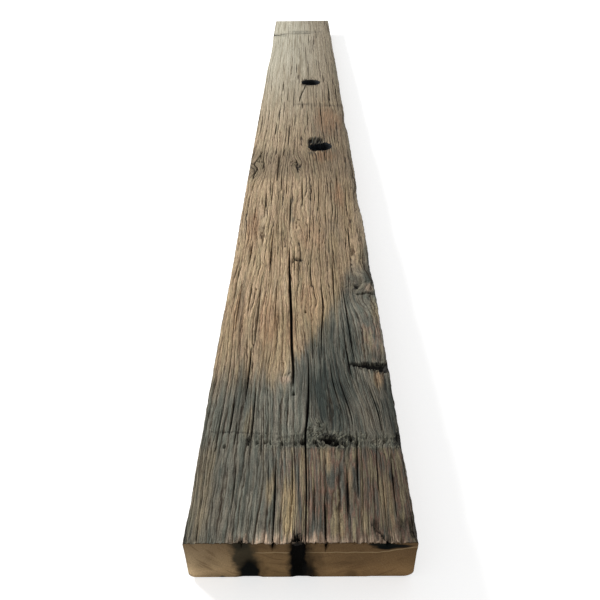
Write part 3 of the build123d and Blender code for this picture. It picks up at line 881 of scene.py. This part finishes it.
def sawnSideMaterial():
    # Sawn oak side: band-saw marks across the grain, brown-grey from handling and weather
    material, add = newMaterial("sawnOakSide")
    grain = add("Attribute", output="Vector", attribute_name="grain")
    noise = streaks(add, grain, {
        "fine": (0.9, 60, 3.0, 0.0), "broad": (6.0, 260, 3.0, 4.0), "cloud": (40, 160, 3.0, 9.0),
        "saw": (55, 2.6, 2.0, 2.0),
    })
    fine, cloud, saw = noise["fine"], noise["cloud"], noise["saw"]
    tone = weighted(add, -0.15, (noise["broad"], 0.8), (cloud, 0.7))
    brown = add("ValToRGB", (tone,), stops=((0.2, "#5a4d3c"), (0.5, "#847460"), (0.85, "#a69880")))
    shade = add("MapRange", (fine, 0.3, 0.7, 0.75, 1.2))
    sawShare = add("MapRange SMOOTHSTEP", (saw, 0.5, 0.7, 0.0, 0.3))
    greyShare = add("MapRange SMOOTHSTEP", (cloud, 0.4, 0.65, 0.1, 0.7))
    upward = add("SeparateXYZ", (grain,), 2)
    nearTop = add("MapRange SMOOTHSTEP", (upward, 34.0, 50.0, 0.0, 0.75))
    soot = add("Attribute", output="Fac", attribute_name="soot")
    colour = layered(
        add, brown,
        (greyShare, "#777062"), (nearTop, "#544d42"), shading(add, shade), (sawShare, "#4e4030"), (soot, "#14130f"),
    )
    height = add("Math MULTIPLY_ADD", (saw, 0.9, fine))
    finishSurface(add, colour, height, roughness=0.75, specular=0.25, bump=0.5)
    return material


# The end grain, in mm: its pith stood above the face, and the rings wander a little
endGrain = {"pith": (10.0, 0.0, 122.0), "ringSpacing": 4.2, "ringWander": 9.0}

# Iron stains of the near end: middle across and up, half width, half height, softness, strength, colour
endStains = (
    (-49, 32, 10.5, 34, 0.35, 0.85, "#2e2f27"), (-52, 51, 9, 9, 0.4, 0.6, "#1f1f1a"),
    (-45, 8, 13, 24, 0.4, 0.6, "#241f17"), (-44.5, 7, 9, 19, 0.25, 1.0, "#010201"),
    (-0.5, 26, 10.5, 90, 0.3, 0.75, "#1c1812"), (-2, 26, 6.8, 90, 0.22, 1.0, "#010101"),
    (5, 0, 9, 20, 0.4, 0.9, "#0b0b09"), (14, 24, 6, 14, 0.5, 0.4, "#3f3021"), (45, 4, 5, 7, 0.5, 0.45, "#3f2d1c"),
    (74, 45.6, 11, 5.0, 0.25, 1.0, "#0c100e"), (85, 45.6, 9, 2.6, 0.35, 0.95, "#101312"),
    (66, 48.6, 7, 3.0, 0.35, 0.95, "#121512"), (-23.5, 51, 3, 8, 0.5, 0.75, "#2a211a"),
    (22, 51, 2.4, 8, 0.5, 0.5, "#2a211a"), (-70, 0, 2.4, 2, 0.5, 0.9, "#14100b"),
)


def sawnEndMaterial():
    # Sawn end grain: rings about a pith above the face, pale rays, blue-black where iron spikes went through
    material, add = newMaterial("sawnOakEnd")
    inMm = placeInMm(add)
    xyz = add("SeparateXYZ", (inMm,), None).outputs
    x, z = xyz[0], xyz[2]
    bend = add("TexNoise", {"Vector": inMm, "Scale": 0.03, "Detail": 2.0})
    pith = add("VectorMath SUBTRACT", (inMm, endGrain["pith"]))
    flatPith = add("VectorMath MULTIPLY", (pith, (1.0, 0.0, 1.0)))
    radius = add("VectorMath LENGTH", (flatPith,), "Value")
    bent = add("Math MULTIPLY_ADD", (bend, endGrain["ringWander"], radius))
    fromPith = add("SeparateXYZ", (flatPith,), None).outputs
    angle = add("Math ARCTAN2", (fromPith[0], fromPith[2]))
    ringPlace = add("CombineXYZ", (bent, angle, 0.0))
    ring = noiseOver(add, ringPlace, "MULTIPLY", (1 / endGrain["ringSpacing"], 4.0, 0.0), 2.0)
    early = add("MapRange SMOOTHSTEP", (ring, 0.54, 0.7, 0.0, 0.4))
    direction = add("VectorMath NORMALIZE", (flatPith,))
    rayPlace = add("VectorMath MULTIPLY_ADD", (direction, (90.0, 0.0, 90.0), (0.0, 0.0, 0.0)))
    rays = add("TexNoise", {"Vector": rayPlace, "Scale": 0.9, "Detail": 2.0})
    grit = add("TexNoise", {"Vector": inMm, "Scale": 0.8, "Detail": 3.0, "Roughness": 0.7})
    cloud = add("TexNoise", {"Vector": inMm, "Scale": 0.035, "Detail": 3.0})
    across = add("MapRange", (x, -100.0, 60.0, 0.0, 1.0))
    base = add("ValToRGB", (across,), stops=((0.0, "#cfb48d"), (0.4, "#9e8059"), (1.0, "#967752")))
    upper = add("MapRange SMOOTHSTEP", (z, 12.0, 50.0, 0.0, 0.6))
    rayShare = add("MapRange SMOOTHSTEP", (rays, 0.55, 0.72, 0.0, 0.18))
    shade = add("MapRange", (grit, 0.3, 0.7, 0.75, 1.2))
    # painted light: the foot of the end is lighter and the rest a little darker, for light the floor throws up onto it
    floorBounceLight = add("MapRange SMOOTHSTEP", (z, 6.0, 24.0, 1.4, 0.94))
    shade = add("Math MULTIPLY", (shade, floorBounceLight))
    dark = add("MapRange SMOOTHSTEP", (cloud, 0.45, 0.7, 0.0, 0.4))
    colour = layered(
        add, base,
        (rayShare, "#b79c74"), (early, "#5f4830"), (dark, "#634d34"), (upper, "#5e4a35"), shading(add, shade),
    )
    edgeNoise = add("TexNoise", {"Vector": inMm, "Scale": 0.11, "Detail": 3.0})
    # step left by the last saw cut: a pale line that climbs to the right
    climb = add("MapRange SMOOTHSTEP", (x, 62.0, 104.0, 36.9, 44.5))
    line = add("Math MULTIPLY_ADD", (edgeNoise, 3.0, -1.5))
    line = add("Math ADD", (line, climb))
    line = add("Math SUBTRACT", (z, line))
    line = add("Math ABSOLUTE", (line,))
    line = add("MapRange SMOOTHSTEP", (line, 0.2, 0.9, 0.6, 0.0))
    rightOf = add("MapRange SMOOTHSTEP", (x, -44.0, -34.0, 0.0, 1.0))
    nearEnd = add("Math LESS_THAN", (xyz[1], 0.0))
    line = add("Math MULTIPLY", (line, rightOf))
    line = add("Math MULTIPLY", (line, nearEnd))
    farWeather = add("MapRange SMOOTHSTEP", (xyz[1], 0.0, 900.0, 0.0, 0.5))
    colour = layered(add, colour, (line, "#c0a67f"), (farWeather, "#857c6a"))
    wander = add("Math MULTIPLY_ADD", (edgeNoise, 1.1, -0.55))
    for middle, height, halfWidth, halfHeight, softness, strength, stain in endStains:
        u = add("Math MULTIPLY_ADD", (x, 1 / halfWidth, -middle / halfWidth))
        u = add("Math ADD", (u, wander))
        v = add("Math MULTIPLY_ADD", (z, 1 / halfHeight, -height / halfHeight))
        away = add("CombineXYZ", (u, v))
        away = add("VectorMath LENGTH", (away,), "Value")
        share = add("MapRange SMOOTHSTEP", (away, 1 - softness, 1 + softness, strength, 0.0))
        share = add("Math MULTIPLY", (share, nearEnd))
        colour = layered(add, colour, (share, stain))
    hollow = add("Attribute", output="Fac", attribute_name="hollow")
    # painted shade: the slits and spike holes darken towards black with their depth
    hollowShade = add("MapRange SMOOTHSTEP", (hollow, 0.6, 2.5, 0.0, 0.95))
    # painted shadow: a thin dark line just under the arris of the face
    arrisShadow = add("MapRange SMOOTHSTEP", (z, 49.3, 51.2, 0.0, 0.8))
    colour = layered(add, colour, (hollowShade, "#0b0a08"), (arrisShadow, "#3a2e22"))
    height = add("Math MULTIPLY_ADD", (early, -0.5, grit))
    finishSurface(add, colour, height, roughness=0.85, specular=0.03, bump=0.5)
    return material


def ironRecessMaterial():
    # Inside a bolt recess: end grain and long grain blackened by the iron and the damp it held; the bluish grey of its
    # lighter streaks is painted glint
    material, add = newMaterial("ironBlackOak")
    inMm = placeInMm(add)
    fine = streaks(add, inMm, {"fine": (1.2, 14, 3.0, 0.0)})["fine"]
    share = add("MapRange", (fine, 0.35, 0.75, 0.0, 1.0))
    colour = add("ValToRGB", (share,), stops=((0.0, "#07080a"), (0.6, "#171b1f"), (1.0, "#434c54")))
    finishSurface(add, colour, fine, roughness=0.8, specular=0.15, bump=0.7)
    return material


# The two bolts were sunk in round recesses, now empty; radius and height in mm from the middle and the underside
boltHoles = {
    "segments": 72,
    "profile": (
        (27.5, 60.0), (25.6, 52.6), (24.4, 50.6), (23.6, 48.0), (23.3, 40.0), (22.8, 34.0), (21.0, 32.3),
        (13.0, 32.0), (11.4, 30.8), (11.0, 24.0), (11.0, 8.0), (11.4, 1.0), (12.6, -1.0), (13.5, -6.0),
    ),
    "ragged": 1.1,
}


def boltCutter(middles, material):
    # One closed turned shape for each hole, its walls ragged where fibres tore
    points, faces = [], []
    count = boltHoles["segments"]
    for number, (cx, cy) in enumerate(middles):
        first = len(points)
        for radius, height in boltHoles["profile"]:
            for k in range(count):
                angle = 2 * math.pi * k / count
                u, v = 3 + 2.6 * math.sin(angle) + 9 * number, height / 9 + 2.6 * math.cos(angle)
                tear = latticeNoise(np.array([u]), np.array([v]), 71)[0] - 0.5
                r = radius + boltHoles["ragged"] * tear * (1.0 + 0.8 * abs(math.sin(angle)))
                points.append((cx + r * mm * math.cos(angle), cy + r * mm * math.sin(angle), cadLow.z + height * mm))
        rings = len(boltHoles["profile"])
        for ring in range(rings - 1):
            for k in range(count):
                a, b = first + ring * count + k, first + ring * count + (k + 1) % count
                faces.append((a, a + count, b + count, b))
        faces.append([first + k for k in range(count)])
        faces.append([first + (rings - 1) * count + k for k in reversed(range(count))])
    mesh = bpy.data.meshes.new("boltCutter")
    mesh.from_pydata(points, [], faces)
    mesh.materials.append(material)
    return bpy.data.objects.new("boltCutter", mesh)


def asPlainMesh(obj, name):
    # What the modifiers make, as a mesh of its own on an object with none
    graph = bpy.context.evaluated_depsgraph_get()
    made = bpy.data.meshes.new_from_object(obj.evaluated_get(graph))
    made.name = name
    # With the many-sided faces cut up, a corner that has only two edges is a flat fold, so it goes
    bm = bmesh.new()
    bm.from_mesh(made)
    bmesh.ops.triangulate(bm, faces=[face for face in bm.faces if len(face.verts) > 4])
    tips = [point for point in bm.verts if len(point.link_edges) == 2]
    bmesh.ops.weld_verts(bm, targetmap={tip: tip.link_edges[0].other_vert(tip) for tip in tips})
    bm.to_mesh(made)
    bm.free()
    print("folds taken out:", len(tips))
    obj.modifiers.clear()
    obj.data = made
    return obj


faceMaterial, sideMaterial, endMaterial = weatheredFaceMaterial(), sawnSideMaterial(), sawnEndMaterial()
recessMaterial = ironRecessMaterial()
print("materials ready")

plankObject = intoScene(bpy.data.objects.new("oakPlank", buildPlankMesh()))
for material in (faceMaterial, sideMaterial, endMaterial):
    plankObject.data.materials.append(material)
print("grid of the plank:", len(plankObject.data.polygons), "faces")

reliefTree = makeReliefTree((faceMaterial, sideMaterial, endMaterial))
modifier = plankObject.modifiers.new("relief", "NODES")
modifier.node_group = reliefTree
for item in reliefTree.interface.items_tree:
    if item.in_out == "INPUT" and item.name in relief:
        modifier[item.identifier] = relief[item.name]
thinner = plankObject.modifiers.new("thinner", "DECIMATE")
thinner.ratio = plank["triangles"] / (2 * len(plankObject.data.polygons))
mounts = {m["name"]: m for m in frame["record"]["mounts"]}
boltPlaces = [mounts[name]["pos_m"][:2] for name in ("bolt_hole_near", "bolt_hole_far")]
cutter = intoScene(boltCutter(boltPlaces, recessMaterial))
holes = plankObject.modifiers.new("holes", "BOOLEAN")
holes.object = cutter
holes.operation = "DIFFERENCE"
holes.solver = "MANIFOLD"
holes.material_mode = "TRANSFER"
asPlainMesh(plankObject, "oakPlank")
bpy.data.objects.remove(cutter)
print("plank with relief and holes:", len(plankObject.data.polygons), "faces", len(plankObject.data.vertices), "points")
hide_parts("oak_plank")
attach(plankObject, "root")

# The studio: a white floor that keeps the plank's shadow, a pale sky all round and one large soft lamp
studio = {
    "floorSize": 14.0,
    "floorColour": "#ebebeb",
    "floorGlow": 0.56,
    "skyLight": 0.5,
    "lampPlace": (-2.4, 1.1, 1.7),
    "lampTarget": (0.0, -0.1, 0.0),
    "lampSize": 0.8,
    "lampPower": 118.0,
}


def raysThatShow(add):
    # 1 for the rays that show a surface to the camera, straight or in a mirror or glass, and 0 for those that light
    rays = add("LightPath", output=None).outputs
    seen = rays["Is Camera Ray"]
    for name in ("Is Glossy Ray", "Is Transmission Ray"):
        seen = add("Math MAXIMUM", (seen, rays[name]))
    return seen


def buildStudio():
    half = studio["floorSize"] / 2
    mesh = bpy.data.meshes.new("studioFloor")
    z = cadLow.z - 0.4 * mm
    mesh.from_pydata([(-half, -half, z), (half, -half, z), (half, half, z), (-half, half, z)], [], [(0, 1, 2, 3)])
    material, add = newMaterial("whiteFloor")
    glow = add("Math MULTIPLY", (raysThatShow(add), studio["floorGlow"]))
    paint = add("BsdfDiffuse", {"Color": linearColour(studio["floorColour"])})
    light = add("Emission", {"Color": (1, 1, 1, 1), "Strength": glow})
    both = add("AddShader", (paint, light))
    add("OutputMaterial", {"Surface": both}, None)
    mesh.materials.append(material)
    floor = intoScene(bpy.data.objects.new("studioFloor", mesh))

    world = bpy.data.worlds.new("studioSky")
    world.use_nodes = True
    world.node_tree.nodes.clear()
    add = partial(addNode, world.node_tree)
    strength = add("MapRange", (raysThatShow(add), 0.0, 1.0, studio["skyLight"], 1.0))
    sky = add("Background", {"Color": (1, 1, 1, 1), "Strength": strength})
    add("OutputWorld", {"Surface": sky}, None)
    bpy.context.scene.world = world

    data = bpy.data.lights.new("softLamp", "AREA")
    data.shape = "SQUARE"
    data.size = studio["lampSize"]
    data.energy = studio["lampPower"]
    lamp = intoScene(bpy.data.objects.new("softLamp", data))
    lamp.location = studio["lampPlace"]
    aim = Vector(studio["lampTarget"]) - Vector(studio["lampPlace"])
    lamp.rotation_euler = aim.to_track_quat("-Z", "Y").to_euler()


# Camera fitted to the photograph's outline of the plank
cameraFit = {
    "place": (0.006393, -1.436456, 0.516954),
    "focalPixels": 615.256,
    "framePixels": 600,
    "pitch": 0.605736,
    "yaw": -0.011661,
    "roll": -0.014310,
}


def buildCamera():
    pitch, yaw, roll = cameraFit["pitch"], cameraFit["yaw"], cameraFit["roll"]
    forward = Vector((math.sin(yaw) * math.cos(pitch), math.cos(yaw) * math.cos(pitch), -math.sin(pitch)))
    right = Vector((math.cos(yaw), -math.sin(yaw), 0))
    up = right.cross(forward)
    turnedRight = math.cos(roll) * right + math.sin(roll) * up
    turnedUp = -math.sin(roll) * right + math.cos(roll) * up
    turn = Matrix((turnedRight, turnedUp, -forward)).transposed().to_4x4()
    data = bpy.data.cameras.new("camera")
    data.sensor_width = 36.0
    data.lens = data.sensor_width * cameraFit["focalPixels"] / cameraFit["framePixels"]
    data.clip_start = 0.01
    camera = intoScene(bpy.data.objects.new("camera", data))
    camera.matrix_world = Matrix.Translation(cameraFit["place"]) @ turn
    bpy.context.scene.camera = camera


buildStudio()
buildCamera()
bpy.context.scene.view_settings.view_transform = "Standard"
print("studio and camera ready")
